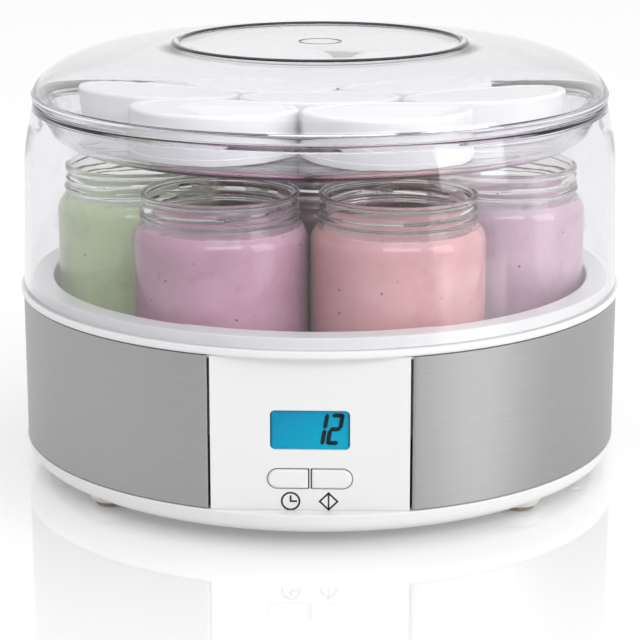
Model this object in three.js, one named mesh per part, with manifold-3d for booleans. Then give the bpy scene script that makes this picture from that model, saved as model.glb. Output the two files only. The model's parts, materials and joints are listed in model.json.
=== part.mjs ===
// Yogurt maker: a round heated base with a control panel, seven glass jars standing in its chamber, and a
// clear cover whose sunken top is a tray for the jar lids, closed by a domed clear lid.
// Millimetres, +Z up, front towards -Y, origin on the table under the centre of the base.

import * as THREE from 'three';
import { mergeVertices } from 'three/addons/utils/BufferGeometryUtils.js';
import Module from 'manifold-3d';

const wasm = await Module();
wasm.setup();

// ---- Driving dimensions -------------------------------------------------------------------------------

const GAP = 0.3; // clearance between touching pieces
const ROUND = 48; // sides of the large round pieces
const SMALL_ROUND = 20; // sides of jars, jar lids and their contents
const PIN_ROUND = 12; // sides of feet, screws, posts and stems

const BAND_R = 118; // outside of the steel band
const BAND_THICK = 0.8;
const RING_R = 119; // widest part, the white ring above the band
const FOOT_H = 5;
const BAND_BOTTOM = 13.9;
const BAND_TOP = 71.2;
const SHELF_Z = 74.6; // ledge that carries the clear cover
const COLLAR_TOP = 78.6;
const COLLAR_R = 114.8;
const HOUSING_R = BAND_R - BAND_THICK - 0.4;
const HOUSING_WALL = 2.2;

const CHAMBER_R = 106;
const CHAMBER_WALL = 2.2;
const CHAMBER_FLOOR = 39.5;
const POCKET_Y = -98; // flat chamber wall behind the controls
const POCKET_TOP = 68;

const PANEL_Y = -112.3; // face of the flat control panel
const PANEL_HALF = 35.9;
const PANEL_THICK = 1.0;
const WINDOW_W = 28.3;
const WINDOW_H = 14.2;
const WINDOW_Z = 43.7;
const WINDOW_CORNER = 1.6;
const BUTTON_W = 14.4;
const BUTTON_H = 7;
const BUTTON_Z = 25.5;
const BUTTON_SPLIT = 1.4; // distance between the two caps
const BUTTON_PROUD = 0.9;
const BUTTON_TRAVEL = 0.6;
const STEM_END = -108.3; // back end of a button's stem, at rest
const BOARD_Y = -103.8; // front face of the control board
const SWITCH_FACE = -107; // front of a push switch's body, without its plunger

const FOOT_R = 6;
const FOOT_TOP = 3.6;
const SOCKET_R = 9; // widest part of the tapered socket that holds a foot
const FOOT_RING = 102;
const FOOT_ANGLE = 40.5; // degrees from the X axis
const SCREW_RING = 105;
const SCREW_ANGLE = 16;
const SCREW_R = 1.5;
const SCREW_TOP = 22;
const POST_R = 4;
const POST_BOTTOM = 8;
const POST_TOP = 30;
const GLAND_Z = 24;
const GLAND_BORE = 3.2;
const GLAND_R = 5;

const JAR_R = 32.7;
const JAR_WALL = 2.4;
const JAR_H = 80;
const JAR_BOTTOM = 3.5;
const NECK_R = 29.6;
const MOUTH_R = 27.2;
const NECK_H = 11; // straight neck above the shoulder
const SHOULDER_H = 9;
const FILL_H = 66.5; // yogurt surface above the jar's foot

// Jar places: distance from the centre and angle in degrees. The jars stand loose on the chamber floor.
const JAR_PLACES = {
  centre: [0, 0],
  right: [72.4, 0],
  back_right: [68, 60],
  back_left: [68, 121],
  left: [71.8, 182],
  front_left: [67.5, 238.5],
  front_right: [65.9, 298],
};

const JAR_LID_R = 31.9;
const JAR_LID_H = 19;
const JAR_LID_WALL = 1.6;
const JAR_LID_RING = 64.3;
const JAR_LID_TURN = -5.7; // degrees by which the ring of lids is turned on the tray

const COVER_THICK = 2.4;
const COVER_BOTTOM = SHELF_Z + GAP;
const COVER_R = 117.7;
const TRAY_FLOOR = 133;
const TRAY_R = 97;
const COVER_RIM_Z = 146.5;
const COVER_RIM_R = 112.2;
const COVER_RIM_IN_R = 106.3;

const DOME_TOP = 168.2;
const DOME_R = 113;
const DOME_DROP = 19.1;
const DOME_THICK = 2.2;
const DOME_FLATNESS = 5.6; // exponents of the dome's superellipse
const DOME_SHOULDER = 0.64;
const RIDGE_R = 56.5;
const RIDGE_W = 2.6;
const RIDGE_H = 0.8;

// ---- Colours ------------------------------------------------------------------------------------------

const WHITE = 0xf2f2f0;
const YOGURT_COLOURS = {
  centre: 0x4a0f1a,
  right: 0xd2b6c8,
  back_right: 0xd9b8a4,
  back_left: 0xe0cfa0,
  left: 0xbccfae,
  front_left: 0xc79fb6,
  front_right: 0xe6abb2,
};

// ---- Helpers ------------------------------------------------------------------------------------------

const radians = (degrees) => THREE.MathUtils.degToRad(degrees);

function polar(radius, degrees) {
  return [radius * Math.cos(radians(degrees)), radius * Math.sin(radians(degrees))];
}

// A solid turned about Z from a profile of [radius, height] points, listed anticlockwise.
function turned(profile, sides = ROUND) {
  const points = profile.map(([radius, height]) => new THREE.Vector2(radius, height));
  return new THREE.LatheGeometry(points, sides).rotateX(Math.PI / 2);
}

function ring(profile, sides = ROUND) {
  return turned([...profile, profile[0]], sides);
}

function disc(radius, bottom, top, sides = ROUND) {
  return turned([[0, bottom], [radius, bottom], [radius, top], [0, top]], sides);
}

function block([x0, x1], [y0, y1], [z0, z1]) {
  const shape = new THREE.BoxGeometry(x1 - x0, y1 - y0, z1 - z0);
  return shape.translate((x0 + x1) / 2, (y0 + y1) / 2, (z0 + z1) / 2);
}

// A round peg along Y between two Y values.
function peg(radius, front, back, sides = PIN_ROUND) {
  return new THREE.CylinderGeometry(radius, radius, back - front, sides).translate(0, (front + back) / 2, 0);
}

// A plate standing in the XZ plane between two Y values, cut from an outline drawn in X and Z.
function uprightPlate(outline, front, back) {
  const options = { depth: back - front, bevelEnabled: false, curveSegments: 6 };
  const plate = new THREE.ExtrudeGeometry(outline, options);
  return plate.rotateX(Math.PI / 2).translate(0, back, 0);
}

function roundedOutline(width, height, corner, centreX, centreZ) {
  const [x0, x1] = [centreX - width / 2, centreX + width / 2];
  const [z0, z1] = [centreZ - height / 2, centreZ + height / 2];
  const shape = new THREE.Shape();
  shape.moveTo(x0 + corner, z0);
  shape.lineTo(x1 - corner, z0);
  shape.absarc(x1 - corner, z0 + corner, corner, -Math.PI / 2, 0);
  shape.lineTo(x1, z1 - corner);
  shape.absarc(x1 - corner, z1 - corner, corner, 0, Math.PI / 2);
  shape.lineTo(x0 + corner, z1);
  shape.absarc(x0 + corner, z1 - corner, corner, Math.PI / 2, Math.PI);
  shape.lineTo(x0, z0 + corner);
  shape.absarc(x0 + corner, z0 + corner, corner, Math.PI, Math.PI * 1.5);
  return shape;
}

// A button outline: round at its outer end, square at the end next to the other button.
// The side is -1 for the left button and +1 for the right one.
function buttonOutline(side, margin = 0) {
  const inner = BUTTON_SPLIT / 2 - margin;
  const half = BUTTON_H / 2 + margin;
  const straight = BUTTON_SPLIT / 2 + BUTTON_W - BUTTON_H / 2;
  const shape = new THREE.Shape();
  if (side > 0) {
    shape.moveTo(inner, BUTTON_Z - half);
    shape.lineTo(straight, BUTTON_Z - half);
    shape.absarc(straight, BUTTON_Z, half, -Math.PI / 2, Math.PI / 2);
    shape.lineTo(inner, BUTTON_Z + half);
  } else {
    shape.moveTo(-inner, BUTTON_Z + half);
    shape.lineTo(-straight, BUTTON_Z + half);
    shape.absarc(-straight, BUTTON_Z, half, Math.PI / 2, Math.PI * 1.5);
    shape.lineTo(-inner, BUTTON_Z - half);
  }
  shape.closePath();
  return shape;
}

// Manifold solids: three.js geometry in, joined or cut, and geometry out again.
function toSolid(geometry) {
  const bare = geometry.clone();
  bare.deleteAttribute('normal');
  bare.deleteAttribute('uv');
  const merged = mergeVertices(bare, 1e-4);
  const index = merged.index.array;
  const corners = [];
  for (let i = 0; i < index.length; i += 3) {
    const [a, b, c] = [index[i], index[i + 1], index[i + 2]];
    if (a !== b && b !== c && c !== a) corners.push(a, b, c);
  }
  const vertProperties = new Float32Array(merged.attributes.position.array);
  const triVerts = new Uint32Array(corners);
  return new wasm.Manifold(new wasm.Mesh({ numProp: 3, vertProperties, triVerts }));
}

function toGeometry(solid) {
  const { vertProperties, triVerts } = solid.getMesh();
  const geometry = new THREE.BufferGeometry();
  geometry.setAttribute('position', new THREE.BufferAttribute(vertProperties, 3));
  geometry.setIndex(new THREE.BufferAttribute(triVerts, 1));
  geometry.computeVertexNormals();
  return geometry;
}

const join = (...pieces) => toGeometry(pieces.map(toSolid).reduce((sum, piece) => sum.add(piece)));

function cut(body, ...tools) {
  return toGeometry(tools.map(toSolid).reduce((rest, tool) => rest.subtract(tool), toSolid(body)));
}

const common = (a, b) => toGeometry(toSolid(a).intersect(toSolid(b)));

const yogurtMaker = new THREE.Group();

function addPart(name, geometry, colour, { roughness = 0.4, metalness = 0, opacity = 1 } = {}) {
  const material = new THREE.MeshStandardMaterial({ color: colour, roughness, metalness });
  material.opacity = opacity;
  material.transparent = opacity < 1;
  const mesh = new THREE.Mesh(geometry, material);
  mesh.name = name;
  yogurtMaker.add(mesh);
  return mesh;
}

// ---- Base: casing -------------------------------------------------------------------------------------

const FRONT_FLAT = PANEL_Y + PANEL_THICK + GAP; // outer face of the housing's flat front wall
const FLAT_BACK = FRONT_FLAT + 2;
const HOUSING_TOP = BAND_TOP - 0.1;
const RING_LEDGE = BAND_BOTTOM - GAP; // top of the bottom ring, under the band

function outerHousing() {
  const inside = HOUSING_R - HOUSING_WALL;
  const shell = ring([
    [109.4, FOOT_H],
    [111.4, FOOT_H],
    [114.8, 6.3],
    [117.3, 9.2],
    [118.6, RING_LEDGE],
    [HOUSING_R, RING_LEDGE],
    [HOUSING_R, HOUSING_TOP],
    [inside, HOUSING_TOP],
    [inside, 14.6],
    [112.6, 9.6],
    [109.4, 7.6],
  ]);
  const roundInside = disc(HOUSING_R - 0.6, RING_LEDGE - 3, HOUSING_TOP);
  const frontSlab = block([-60, 60], [-130, FRONT_FLAT], [RING_LEDGE, 90]);
  const wallSlab = block([-60, 60], [FRONT_FLAT, FLAT_BACK], [RING_LEDGE - 2, HOUSING_TOP]);
  const flatWall = common(roundInside, wallSlab);
  const frontShelf = common(roundInside, block([-45, 45], [-118, FLAT_BACK], [RING_LEDGE - 2, RING_LEDGE]));
  const windowHole = block([-16.6, 16.6], [-114, -106], [34, 53.4]);
  const buttonHole = block([-17.2, 17.2], [-114, -106], [20.4, 30.6]);
  const posts = screwPlaces().flatMap(([x, y]) => screwPost(x, y));
  const walls = join(cut(shell, frontSlab), flatWall, frontShelf, ...posts);
  return cut(walls, windowHole, buttonHole, glandHole(), ...screwPlaces().map(screwBore));
}

const glandHole = () => peg(GLAND_R + GAP, 105, 125).translate(0, 0, GLAND_Z);

// The corner places at the given ring radius and angle: front left, front right, back right, back left.
function fourPlaces(radius, degrees) {
  const [x, y] = polar(radius, degrees);
  return [[-x, -y], [x, -y], [x, y], [-x, y]];
}

const screwPlaces = () => fourPlaces(SCREW_RING, SCREW_ANGLE);

// A post that a bottom screw bites into, with the rib that ties it to the round wall.
function screwPost(x, y) {
  const post = disc(POST_R, POST_BOTTOM, POST_TOP, PIN_ROUND);
  const rib = block([0, 11], [-1.2, 1.2], [POST_BOTTOM + 4, POST_TOP]).rotateZ(Math.atan2(y, x));
  return [post.translate(x, y, 0), rib.translate(x, y, 0)];
}

const screwBore = ([x, y]) => disc(SCREW_R + 0.4, 0, SCREW_TOP + 3, PIN_ROUND).translate(x, y, 0);

function steelBand() {
  const inside = BAND_R - BAND_THICK;
  const band = ring([[inside, BAND_BOTTOM], [BAND_R, BAND_BOTTOM], [BAND_R, BAND_TOP], [inside, BAND_TOP]]);
  const panelGap = block([-PANEL_HALF - GAP, PANEL_HALF + GAP], [-130, -60], [0, 90]);
  return cut(band, panelGap, glandHole());
}

// The inner basin: the chamber, its flat-walled pocket in front, the collar and the wide white ring.
function innerBasin() {
  const outside = CHAMBER_R + CHAMBER_WALL;
  const underside = CHAMBER_FLOOR - CHAMBER_WALL;
  const bowl = turned([
    [0, underside],
    [outside - 3, underside],
    [outside, underside + 3],
    [outside, BAND_TOP + GAP],
    [BAND_R, BAND_TOP + GAP],
    [RING_R, 72.4],
    [RING_R, 73.5],
    [RING_R - 1, SHELF_Z],
    [COLLAR_R, SHELF_Z],
    [COLLAR_R, COLLAR_TOP - 0.8],
    [COLLAR_R - 0.8, COLLAR_TOP],
    [CHAMBER_R + 0.6, COLLAR_TOP],
    [CHAMBER_R, COLLAR_TOP - 0.6],
    [CHAMBER_R, CHAMBER_FLOOR + 3],
    [CHAMBER_R - 3, CHAMBER_FLOOR],
    [0, CHAMBER_FLOOR],
  ]);
  const pocketOuter = POCKET_Y - CHAMBER_WALL;
  const controlsSpace = block([-80, 80], [-140, pocketOuter], [0, POCKET_TOP - CHAMBER_WALL]);
  const round = disc(CHAMBER_R + 1, CHAMBER_FLOOR - 1, POCKET_TOP);
  const flatWall = common(round, block([-80, 80], [pocketOuter, POCKET_Y], [CHAMBER_FLOOR - 1, POCKET_TOP]));
  const ledgeHeights = [POCKET_TOP - CHAMBER_WALL, POCKET_TOP];
  const ledge = common(round, block([-80, 80], [-CHAMBER_R - 1, POCKET_Y], ledgeHeights));
  return join(cut(bowl, controlsSpace), flatWall, ledge);
}

const footPlaces = () => fourPlaces(FOOT_RING, FOOT_ANGLE);

// A tapered cup, open below, that widens towards the base and joins the bottom cover by a short neck.
function footSocket([x, y]) {
  const bore = FOOT_R + GAP;
  const neck = 6.8;
  const socket = turned([
    [0, FOOT_TOP + GAP],
    [bore, FOOT_TOP + GAP],
    [bore, 1.8],
    [bore + 0.8, 1.8],
    [SOCKET_R, FOOT_H - GAP],
    [neck, FOOT_H - GAP],
    [neck, FOOT_H + 1],
    [0, FOOT_H + 1],
  ], PIN_ROUND);
  return socket.translate(x, y, 0);
}

const COVER_PLATE = [FOOT_H + GAP, FOOT_H + GAP + 2.2]; // bottom and top of the bottom cover
const BOSS_R = 3;
const BOSS_TOP = 12;
const VENT_Y = -52; // middle of the row of vent slots
const VENT_PITCH = 8;
const VENT_HALF = 22;
const VENT_W = 3;
const BOARD_CORNERS = [[-24, -6], [36, -6], [-24, 34], [36, 34]];

// The plate under the base, with sockets for the feet, bosses for the power board and a row of vent slots.
function bottomCover() {
  const plate = disc(109, COVER_PLATE[0], COVER_PLATE[1]);
  const bosses = BOARD_CORNERS.map(([x, y]) => {
    return disc(BOSS_R, COVER_PLATE[0] + 1, BOSS_TOP, PIN_ROUND).translate(x, y, 0);
  });
  const slots = [-2, -1, 0, 1, 2].map((i) => {
    const y = VENT_Y + i * VENT_PITCH;
    return block([-VENT_HALF, VENT_HALF], [y - VENT_W / 2, y + VENT_W / 2], [0, 20]);
  });
  const solid = join(plate, ...bosses, ...footPlaces().map(footSocket));
  return cut(solid, ...screwPlaces().map(screwBore), ...slots);
}

function foot() {
  return turned([[0, 0], [FOOT_R - 0.8, 0], [FOOT_R, 0.8], [FOOT_R, FOOT_TOP], [0, FOOT_TOP]], PIN_ROUND);
}

function screw() {
  const headTop = FOOT_H;
  return turned([
    [0, headTop - 1.8],
    [2.6, headTop - 1.8],
    [3.2, headTop - 1],
    [3.2, headTop],
    [SCREW_R, headTop],
    [SCREW_R, SCREW_TOP],
    [0, SCREW_TOP],
  ], PIN_ROUND);
}

// A strain-relief bush in the back wall, with its bore along Y.
function cordGland() {
  const [inner, outer, flange] = [110, BAND_R + GAP, RING_R - 0.05];
  const sleeve = ring([
    [GLAND_BORE, inner],
    [GLAND_R + 1.6, inner],
    [GLAND_R + 1.6, 113.8],
    [GLAND_R, 113.8],
    [GLAND_R, outer],
    [GLAND_R + 2, outer],
    [GLAND_R + 2, flange],
    [GLAND_BORE, flange],
  ], PIN_ROUND);
  return sleeve.rotateX(-Math.PI / 2).translate(0, 0, GLAND_Z);
}

addPart('outer_housing', outerHousing(), WHITE);
addPart('steel_band', steelBand(), 0xb4b4b4, { roughness: 0.35, metalness: 1 });
addPart('inner_basin', innerBasin(), WHITE);
addPart('bottom_cover', bottomCover(), WHITE, { roughness: 0.6 });
addPart('cord_gland', cordGland(), WHITE, { roughness: 0.6 });

const PLATED = { roughness: 0.3, metalness: 1 };
const CORNER_NAMES = ['front_left', 'front_right', 'back_right', 'back_left'];
CORNER_NAMES.forEach((corner, i) => {
  const [footX, footY] = footPlaces()[i];
  addPart(`foot_${corner}`, foot(), 0x8a7a6c, { roughness: 0.8 }).position.set(footX, footY, 0);
  const [screwX, screwY] = screwPlaces()[i];
  addPart(`screw_${corner}`, screw(), 0xb0b0b0, PLATED).position.set(screwX, screwY, 0);
});

// ---- Base: controls -----------------------------------------------------------------------------------

const PANEL_BACK = PANEL_Y + PANEL_THICK;
const BOARD_THICK = 1.6;
const BOARD_GREEN = 0x2f6b3a;
const BUTTON_CENTRE = BUTTON_SPLIT / 2 + BUTTON_W / 2;

function controlPanel() {
  const plate = block([-PANEL_HALF, PANEL_HALF], [PANEL_Y, PANEL_BACK], [BAND_BOTTOM, BAND_TOP]);
  const windowOutline = roundedOutline(WINDOW_W + 2 * GAP, WINDOW_H + 2 * GAP, WINDOW_CORNER, 0, WINDOW_Z);
  const through = [PANEL_Y - 5, PANEL_BACK + 5];
  const windowHole = uprightPlate(windowOutline, ...through);
  const buttonHoles = [-1, 1].map((side) => uprightPlate(buttonOutline(side, GAP), ...through));
  return cut(plate, windowHole, ...buttonHoles);
}

function displayWindow() {
  const outline = roundedOutline(WINDOW_W, WINDOW_H, WINDOW_CORNER, 0, WINDOW_Z);
  return uprightPlate(outline, PANEL_Y + 0.2, PANEL_BACK);
}

// A cap that shows in the panel, a wider flange that keeps it in, and a stem that reaches for the switch.
function button(side) {
  const cap = uprightPlate(buttonOutline(side), PANEL_Y - BUTTON_PROUD, FRONT_FLAT);
  const [near, far] = [BUTTON_SPLIT / 2, BUTTON_SPLIT / 2 + BUTTON_W + 1];
  const across = side > 0 ? [near, far] : [-far, -near];
  const flange = block(across, [PANEL_BACK + GAP, FRONT_FLAT + 0.8], [BUTTON_Z - 4.4, BUTTON_Z + 4.4]);
  const stem = peg(1.8, FRONT_FLAT, STEM_END).translate(side * BUTTON_CENTRE, 0, BUTTON_Z);
  return join(cap, flange, stem);
}

// A push switch whose plunger stops just behind the fully pressed stem.
function tactSwitch() {
  const body = block([-3, 3], [SWITCH_FACE, BOARD_Y - GAP], [-3, 3]);
  return join(body, peg(1.6, STEM_END + BUTTON_TRAVEL + GAP, SWITCH_FACE + 1));
}

addPart('control_panel', controlPanel(), WHITE);
addPart('display_window', displayWindow(), 0x9fd4e0, { roughness: 0.05, opacity: 0.35 });
addPart('lcd_module', block([-16, 16], [-110.6, -107.6], [34.5, 53]), 0x0094bd, { roughness: 0.3 });
addPart('control_board', block([-30, 30], [BOARD_Y, BOARD_Y + BOARD_THICK], [18, 56]), BOARD_GREEN);
[['left', -1], ['right', 1]].forEach(([name, side]) => {
  addPart(`button_${name}`, button(side), WHITE);
  addPart(`tact_switch_${name}`, tactSwitch(), 0x222222).position.set(side * BUTTON_CENTRE, 0, BUTTON_Z);
});

// ---- Base: heater and power supply --------------------------------------------------------------------

const SPREADER_TOP = CHAMBER_FLOOR - CHAMBER_WALL - GAP;
const SPREADER_THICK = 1.6;
const MAT_TOP = SPREADER_TOP - SPREADER_THICK - GAP;
const MAT_BOTTOM = MAT_TOP - 1.1;
const BOARD_BOTTOM = BOSS_TOP + GAP;
const COMPONENT_Z = BOARD_BOTTOM + BOARD_THICK + GAP;

// A box standing on the origin.
function standing(width, depth, height) {
  return block([-width / 2, width / 2], [-depth / 2, depth / 2], [0, height]);
}

function thermalFuse() {
  return new THREE.CylinderGeometry(2, 2, 12, PIN_ROUND).rotateZ(Math.PI / 2);
}

addPart('heat_spreader', disc(94, SPREADER_TOP - SPREADER_THICK, SPREADER_TOP), 0xb9bcc0, { metalness: 1 });
addPart('heating_mat', disc(88, MAT_BOTTOM, MAT_TOP), 0xa8432c, { roughness: 0.8 });
addPart('temperature_sensor', standing(8, 6, 4), 0x202020).position.set(-30, 20, MAT_BOTTOM - GAP - 4);
addPart('thermal_fuse', thermalFuse(), 0xd8d2c4).position.set(-30, -20, MAT_BOTTOM - GAP - 2);
addPart('power_board', block([-28, 40], [-10, 38], [BOARD_BOTTOM, BOARD_BOTTOM + BOARD_THICK]), BOARD_GREEN);
addPart('transformer', standing(26, 22, 14), 0xd8c23a).position.set(-10, 12, COMPONENT_Z);
addPart('relay', standing(19, 15, 15), 0x2a5fa8).position.set(22, 2, COMPONENT_Z);
addPart('filter_capacitor', standing(18, 8, 13), 0xb58a3c).position.set(20, 20, COMPONENT_Z);
addPart('terminal_block', standing(15, 8, 9), 0x3c8f4a).position.set(0, 31, COMPONENT_Z);

// ---- Clear cover and dome -----------------------------------------------------------------------------

// The round wall, the rim, and the rising side of the sunken tray.
function clearCover() {
  return ring([
    [TRAY_R, TRAY_FLOOR - COVER_THICK],
    [102.2, 132],
    [105.2, 135.4],
    [107.4, 143],
    [109, 143],
    [112, 137],
    [113.5, 128],
    [COVER_R - COVER_THICK, COVER_BOTTOM],
    [COVER_R, COVER_BOTTOM],
    [116.1, 128],
    [114.8, 136],
    [113.4, 141.5],
    [COVER_RIM_R, COVER_RIM_Z],
    [COVER_RIM_IN_R, COVER_RIM_Z],
    [103, 137.4],
    [101, 134.4],
    [TRAY_R, TRAY_FLOOR],
  ]);
}

// The flat floor of the tray, which closes the cover inside its rising side.
const trayFloor = () => disc(TRAY_R - GAP, TRAY_FLOOR - COVER_THICK, TRAY_FLOOR);

// Height of the dome's surface at a radius, a superellipse that is nearly flat on top.
function domeHeight(radius, edge, top, drop) {
  return top - drop * (1 - (1 - (radius / edge) ** DOME_FLATNESS) ** DOME_SHOULDER);
}

function domeLid() {
  const shares = [0.5, 0.66, 0.8, 0.9, 0.97];
  const innerEdge = DOME_R - DOME_THICK;
  const inner = shares.map((share) => {
    const radius = share * innerEdge;
    return [radius, domeHeight(radius, innerEdge, DOME_TOP - DOME_THICK, DOME_DROP - DOME_THICK)];
  });
  const outer = shares.slice(1).map((share) => {
    const radius = share * DOME_R;
    return [radius, domeHeight(radius, DOME_R, DOME_TOP, DOME_DROP)];
  });
  const skirt = COVER_RIM_Z + GAP;
  return turned([
    [0, DOME_TOP - DOME_THICK],
    ...inner,
    [innerEdge, skirt + 2.6],
    [COVER_RIM_IN_R + 0.3, skirt + 1.6],
    [COVER_RIM_IN_R + 0.3, skirt],
    [COVER_RIM_R, skirt],
    [DOME_R, DOME_TOP - DOME_DROP],
    ...outer.reverse(),
    [RIDGE_R + RIDGE_W / 2, DOME_TOP - 0.3],
    [RIDGE_R + RIDGE_W / 4, DOME_TOP + RIDGE_H],
    [RIDGE_R - RIDGE_W / 4, DOME_TOP + RIDGE_H],
    [RIDGE_R - RIDGE_W / 2, DOME_TOP - 0.3],
    [0, DOME_TOP],
  ]);
}

const CLEAR = { roughness: 0.05, opacity: 0.25 };
addPart('clear_cover', clearCover(), 0xf4f6fa, CLEAR);
addPart('tray_floor', trayFloor(), 0xf4f6fa, CLEAR);
addPart('dome_lid', domeLid(), 0xf4f6fa, CLEAR);

// ---- Jars, yogurt and jar lids ------------------------------------------------------------------------

function jar() {
  const shoulder = JAR_H - NECK_H - SHOULDER_H;
  const neckFoot = JAR_H - NECK_H;
  return turned([
    [0, 0],
    [JAR_R - 3, 0],
    [JAR_R, 3],
    [JAR_R, shoulder],
    [JAR_R - 1.2, shoulder + SHOULDER_H * 0.6],
    [NECK_R, neckFoot],
    [NECK_R, JAR_H],
    [MOUTH_R, JAR_H],
    [MOUTH_R, neckFoot - 0.5],
    [JAR_R - JAR_WALL - 0.6, shoulder + SHOULDER_H * 0.4],
    [JAR_R - JAR_WALL, shoulder - 2],
    [JAR_R - JAR_WALL, JAR_BOTTOM + 1.5],
    [JAR_R - JAR_WALL - 1.5, JAR_BOTTOM],
    [0, JAR_BOTTOM],
  ], SMALL_ROUND);
}

function yogurt() {
  const radius = JAR_R - JAR_WALL - GAP;
  const bottom = JAR_BOTTOM + GAP;
  return turned([
    [0, bottom],
    [radius - 1.6, bottom],
    [radius, bottom + 1.6],
    [radius, JAR_H - NECK_H - SHOULDER_H - 2],
    [radius - 0.7, FILL_H - 3.3],
    [radius - 2.2, FILL_H],
    [0, FILL_H],
  ], SMALL_ROUND);
}

function jarLid() {
  return turned([
    [0, JAR_LID_H - JAR_LID_WALL],
    [JAR_LID_R - JAR_LID_WALL, JAR_LID_H - JAR_LID_WALL],
    [JAR_LID_R - JAR_LID_WALL, 0],
    [JAR_LID_R, 0],
    [JAR_LID_R, JAR_LID_H - 2],
    [JAR_LID_R - 2, JAR_LID_H],
    [0, JAR_LID_H],
  ], SMALL_ROUND);
}

Object.entries(JAR_PLACES).forEach(([place, [distance, angle]], i) => {
  const [x, y] = polar(distance, angle);
  addPart(`jar_${place}`, jar(), 0xe8eef0, CLEAR).position.set(x, y, CHAMBER_FLOOR + GAP);
  addPart(`yogurt_${place}`, yogurt(), YOGURT_COLOURS[place]).position.set(x, y, CHAMBER_FLOOR + GAP);
  const lidAngle = (i - 1) * 60 + JAR_LID_TURN;
  const [lidX, lidY] = polar(place === 'centre' ? 0 : JAR_LID_RING, lidAngle);
  addPart(`jar_lid_${place}`, jarLid(), WHITE).position.set(lidX, lidY, TRAY_FLOOR + GAP);
});

export default yogurtMaker;
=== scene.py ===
import json
import math

import bmesh
import bpy
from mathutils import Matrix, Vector, noise


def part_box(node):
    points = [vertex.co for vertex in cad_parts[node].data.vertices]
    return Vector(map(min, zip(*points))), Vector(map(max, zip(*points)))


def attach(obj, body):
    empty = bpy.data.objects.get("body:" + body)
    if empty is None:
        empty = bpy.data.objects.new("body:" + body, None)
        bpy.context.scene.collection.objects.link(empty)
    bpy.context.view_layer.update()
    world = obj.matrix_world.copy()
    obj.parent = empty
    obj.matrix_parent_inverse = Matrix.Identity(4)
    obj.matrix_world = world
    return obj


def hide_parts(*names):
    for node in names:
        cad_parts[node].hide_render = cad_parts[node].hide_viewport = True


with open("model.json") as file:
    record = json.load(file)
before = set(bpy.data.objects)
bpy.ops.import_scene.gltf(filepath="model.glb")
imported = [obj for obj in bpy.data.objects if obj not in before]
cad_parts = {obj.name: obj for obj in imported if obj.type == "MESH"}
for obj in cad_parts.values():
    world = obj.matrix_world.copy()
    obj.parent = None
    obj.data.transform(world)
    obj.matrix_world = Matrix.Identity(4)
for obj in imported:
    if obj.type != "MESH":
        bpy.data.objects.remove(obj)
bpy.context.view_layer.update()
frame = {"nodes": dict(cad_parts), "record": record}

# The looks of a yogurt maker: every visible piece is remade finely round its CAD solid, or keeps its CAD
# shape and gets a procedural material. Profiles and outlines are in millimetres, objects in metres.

MM = 0.001
FINE = 240  # sides of the large round pieces
CLEAR_SIDES = 288  # sides of the clear cover and dome
MEDIUM = 144  # sides of jars, jar lids and yogurt
SMALL = 48  # sides of feet, bosses and bushes
SCREW_SIDES = 32
SOCKET_R = 9.0  # widest part of the sockets that hold the feet
SOCKET_NECK_R = 6.8  # where a socket runs up into the bottom cover
FOOT_NODES = [name for name in sorted(frame["nodes"]) if name.startswith("foot_")]
SCREW_NODES = [name for name in sorted(frame["nodes"]) if name.startswith("screw_")]
JAR_PLACES = [name[len("jar_lid_"):] for name in sorted(frame["nodes"]) if name.startswith("jar_lid_")]


# ---- Measures taken from the frame ----------------------------------------------------------------------

def box(node):
    """Lowest and highest corner of a CAD node, in millimetres."""
    low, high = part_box(node)
    return low / MM, high / MM


def middle(node):
    low, high = box(node)
    return (low + high) / 2


BASIN_HIGH = box("inner_basin")[1]
BAND_LOW, BAND_HIGH = box("steel_band")
HOUSING_LOW, HOUSING_HIGH = box("outer_housing")
PANEL_LOW, PANEL_HIGH = box("control_panel")
WINDOW_LOW, WINDOW_HIGH = box("display_window")
COVER_LOW, COVER_HIGH = box("clear_cover")
DOME_LOW, DOME_HIGH = box("dome_lid")
PANEL_FACE = PANEL_LOW.y
PANEL_BACK = PANEL_HIGH.y
RING_R = BASIN_HIGH.x
BAND_R = BAND_HIGH.x
COVER_R = COVER_HIGH.x
COLLAR_R = 114.8  # the basin's collar inside the clear cover


# ---- Building meshes ------------------------------------------------------------------------------------

def soften(points, closed):
    """Points of (radius, height, corner) where a third number rounds that corner with a small curve."""
    out = []
    count = len(points)
    for i, point in enumerate(points):
        here = Vector(point[:2])
        size = point[2] if len(point) > 2 else 0
        inside = closed or 0 < i < count - 1
        if not size or not inside:
            out.append(here)
            continue
        back = Vector(points[i - 1][:2]) - here
        ahead = Vector(points[(i + 1) % count][:2]) - here
        reach = min(size, back.length * 0.49, ahead.length * 0.49)
        start, end = here + back.normalized() * reach, here + ahead.normalized() * reach
        steps = max(3, min(10, round(reach * 3)))
        for k in range(steps + 1):
            t = k / steps
            out.append(start * (1 - t) ** 2 + here * 2 * t * (1 - t) + end * t ** 2)
    return out


def subdivided(points, longest):
    """The same line with no stretch longer than the given length."""
    out = []
    for a, b in zip(points, points[1:]):
        parts = max(1, math.ceil((b - a).length / longest))
        out += [a.lerp(b, k / parts) for k in range(parts)]
    return out + [points[-1]]


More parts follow.
